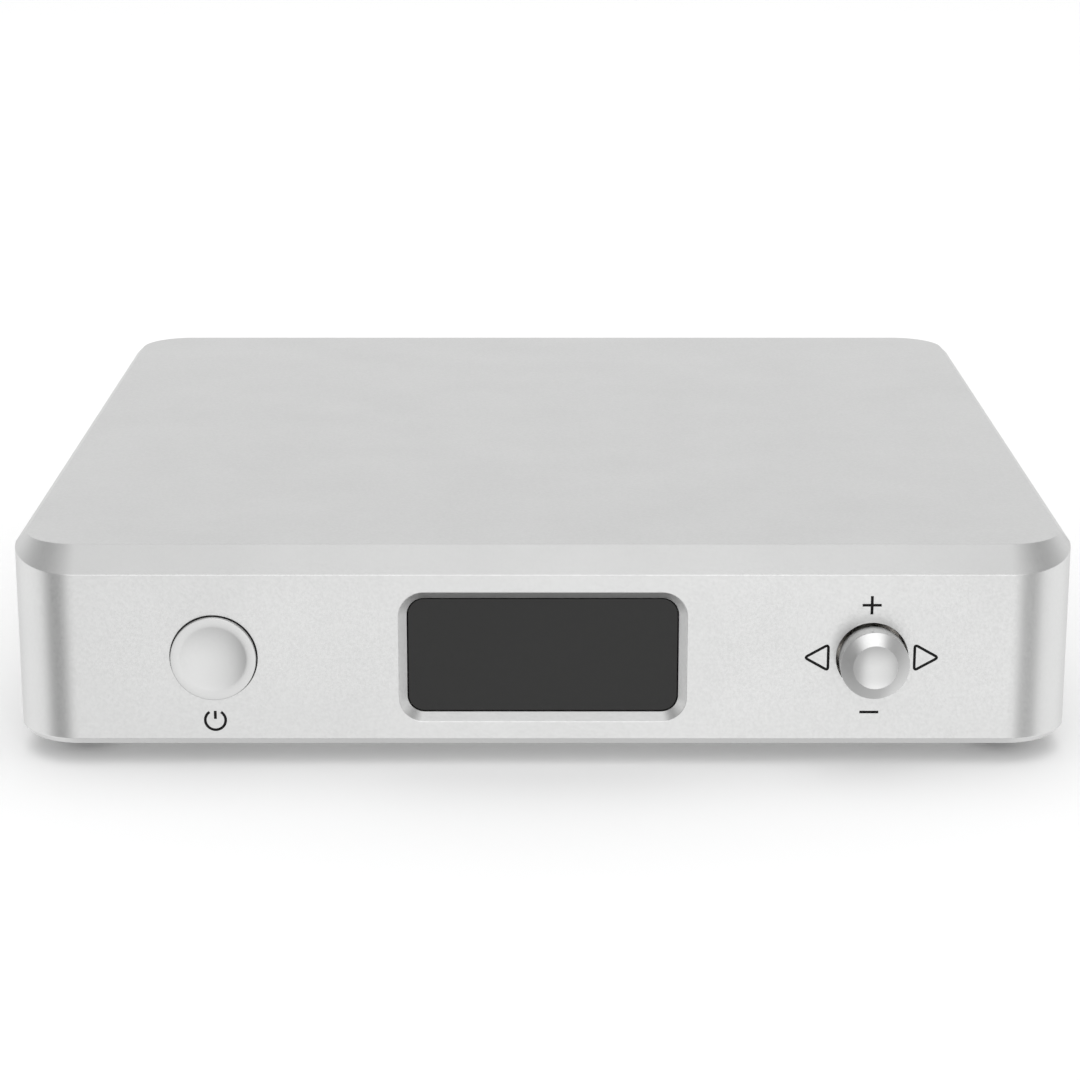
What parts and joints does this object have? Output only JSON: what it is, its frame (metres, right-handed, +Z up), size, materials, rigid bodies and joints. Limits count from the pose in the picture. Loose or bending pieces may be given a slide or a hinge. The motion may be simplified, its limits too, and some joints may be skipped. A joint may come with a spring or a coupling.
{
  "type": "desktop dac",
  "caption": "Compact desktop digital-to-analogue converter: satin aluminium case with a front display, a power button, a tilting control knob and rear audio sockets.",
  "frame": {"origin": "middle of the footprint, knob and sockets included, at the level the feet stand on", "axes": "+Z up; the front panel faces -Y, +X is on the right of someone facing it; rear sockets point along +Y"},
  "size_m": [0.132, 0.1438, 0.0278],
  "materials": {
    "case_aluminium": "satin bead-blasted, clear anodised",
    "control_aluminium": "satin turned and anodised",
    "panel_aluminium": "satin anodised",
    "foot_rubber": "matt",
    "window_glass": "dark tinted, glossy",
    "seal_foam": "matt",
    "screen": "dark, unlit",
    "board_laminate": "green solder mask",
    "black_plastic": "moulded, fine texture",
    "white_plastic": "moulded, satin",
    "red_plastic": "moulded, satin",
    "orange_plastic": "moulded, satin",
    "flex_film": "amber polyimide",
    "nickel_plate": "nickel plated",
    "gold_plate": "gold plated",
    "fastener_steel": "blackened steel"
  },
  "bodies": {
    "case": {"case_shell": "case_aluminium", "base_plate": "panel_aluminium", "rear_panel": "panel_aluminium", "display_window": "window_glass", "window_seal": "seal_foam", "display_panel": "screen", "display_flex": "flex_film", "front_board": "board_laminate", "front_board_screw_left": "fastener_steel", "front_board_screw_right": "fastener_steel", "power_switch": "black_plastic", "nav_switch_body": "black_plastic", "nav_switch_cover": "nickel_plate", "rear_screw_left": "fastener_steel", "rear_screw_right": "fastener_steel", "dc_socket": "black_plastic", "dc_pin": "nickel_plate", "usb_shell": "nickel_plate", "usb_tongue": "white_plastic", "optical_socket": "black_plastic", "coax_body": "orange_plastic", "coax_shell": "gold_plate", "rca_right_body": "red_plastic", "rca_right_shell": "gold_plate", "rca_left_body": "white_plastic", "rca_left_shell": "gold_plate", "balanced_right_jack": "black_plastic", "balanced_right_nut": "nickel_plate", "balanced_left_jack": "black_plastic", "balanced_left_nut": "nickel_plate", "main_board": "board_laminate", "front_connector": "white_plastic", "board_connector": "white_plastic", "board_link": "flex_film", "dac_chip": "black_plastic", "processor_chip": "black_plastic", "oscillator": "nickel_plate", "power_inductor": "fastener_steel", "capacitor_1": "black_plastic", "capacitor_2": "black_plastic", "foot_1": "foot_rubber", "base_screw_1": "fastener_steel", "board_screw_1": "fastener_steel", "foot_2": "foot_rubber", "base_screw_2": "fastener_steel", "board_screw_2": "fastener_steel", "foot_3": "foot_rubber", "base_screw_3": "fastener_steel", "board_screw_3": "fastener_steel", "foot_4": "foot_rubber", "base_screw_4": "fastener_steel", "board_screw_4": "fastener_steel"},
    "power_button": {"power_button": "control_aluminium", "power_plunger": "black_plastic"},
    "nav_yoke": {"nav_yoke": "black_plastic"},
    "nav_sleeve": {"nav_sleeve": "white_plastic"},
    "nav_knob": {"nav_knob": "control_aluminium", "nav_stem": "black_plastic"},
    "optical_shutter": {"optical_shutter": "black_plastic"}
  },
  "joints": [
    {"name": "power_press", "type": "slide", "parent": "case", "child": "power_button", "axis": [0, 1, 0], "range_m": [0, 0.0005], "stiffness_N_per_m": 3500},
    {"name": "nav_left_right", "type": "hinge", "parent": "case", "child": "nav_yoke", "pos_m": [0.0407, -0.0586, 0.0141], "axis": [0, 0, 1], "range_deg": [-2, 2], "stiffness_Nm_per_rad": 0.3},
    {"name": "nav_up_down", "type": "hinge", "parent": "nav_yoke", "child": "nav_sleeve", "pos_m": [0.0407, -0.0586, 0.0141], "axis": [1, 0, 0], "range_deg": [-2, 2], "stiffness_Nm_per_rad": 0.3},
    {"name": "nav_press", "type": "slide", "parent": "nav_sleeve", "child": "nav_knob", "axis": [0, 1, 0], "range_m": [0, 0.00025], "stiffness_N_per_m": 4500},
    {"name": "optical_flap", "type": "hinge", "parent": "case", "child": "optical_shutter", "pos_m": [-0.0203, 0.0625, 0.0186], "axis": [-1, 0, 0], "range_deg": [0, 85], "stiffness_Nm_per_rad": 0.0004, "springref_deg": -17.19}
  ]
}
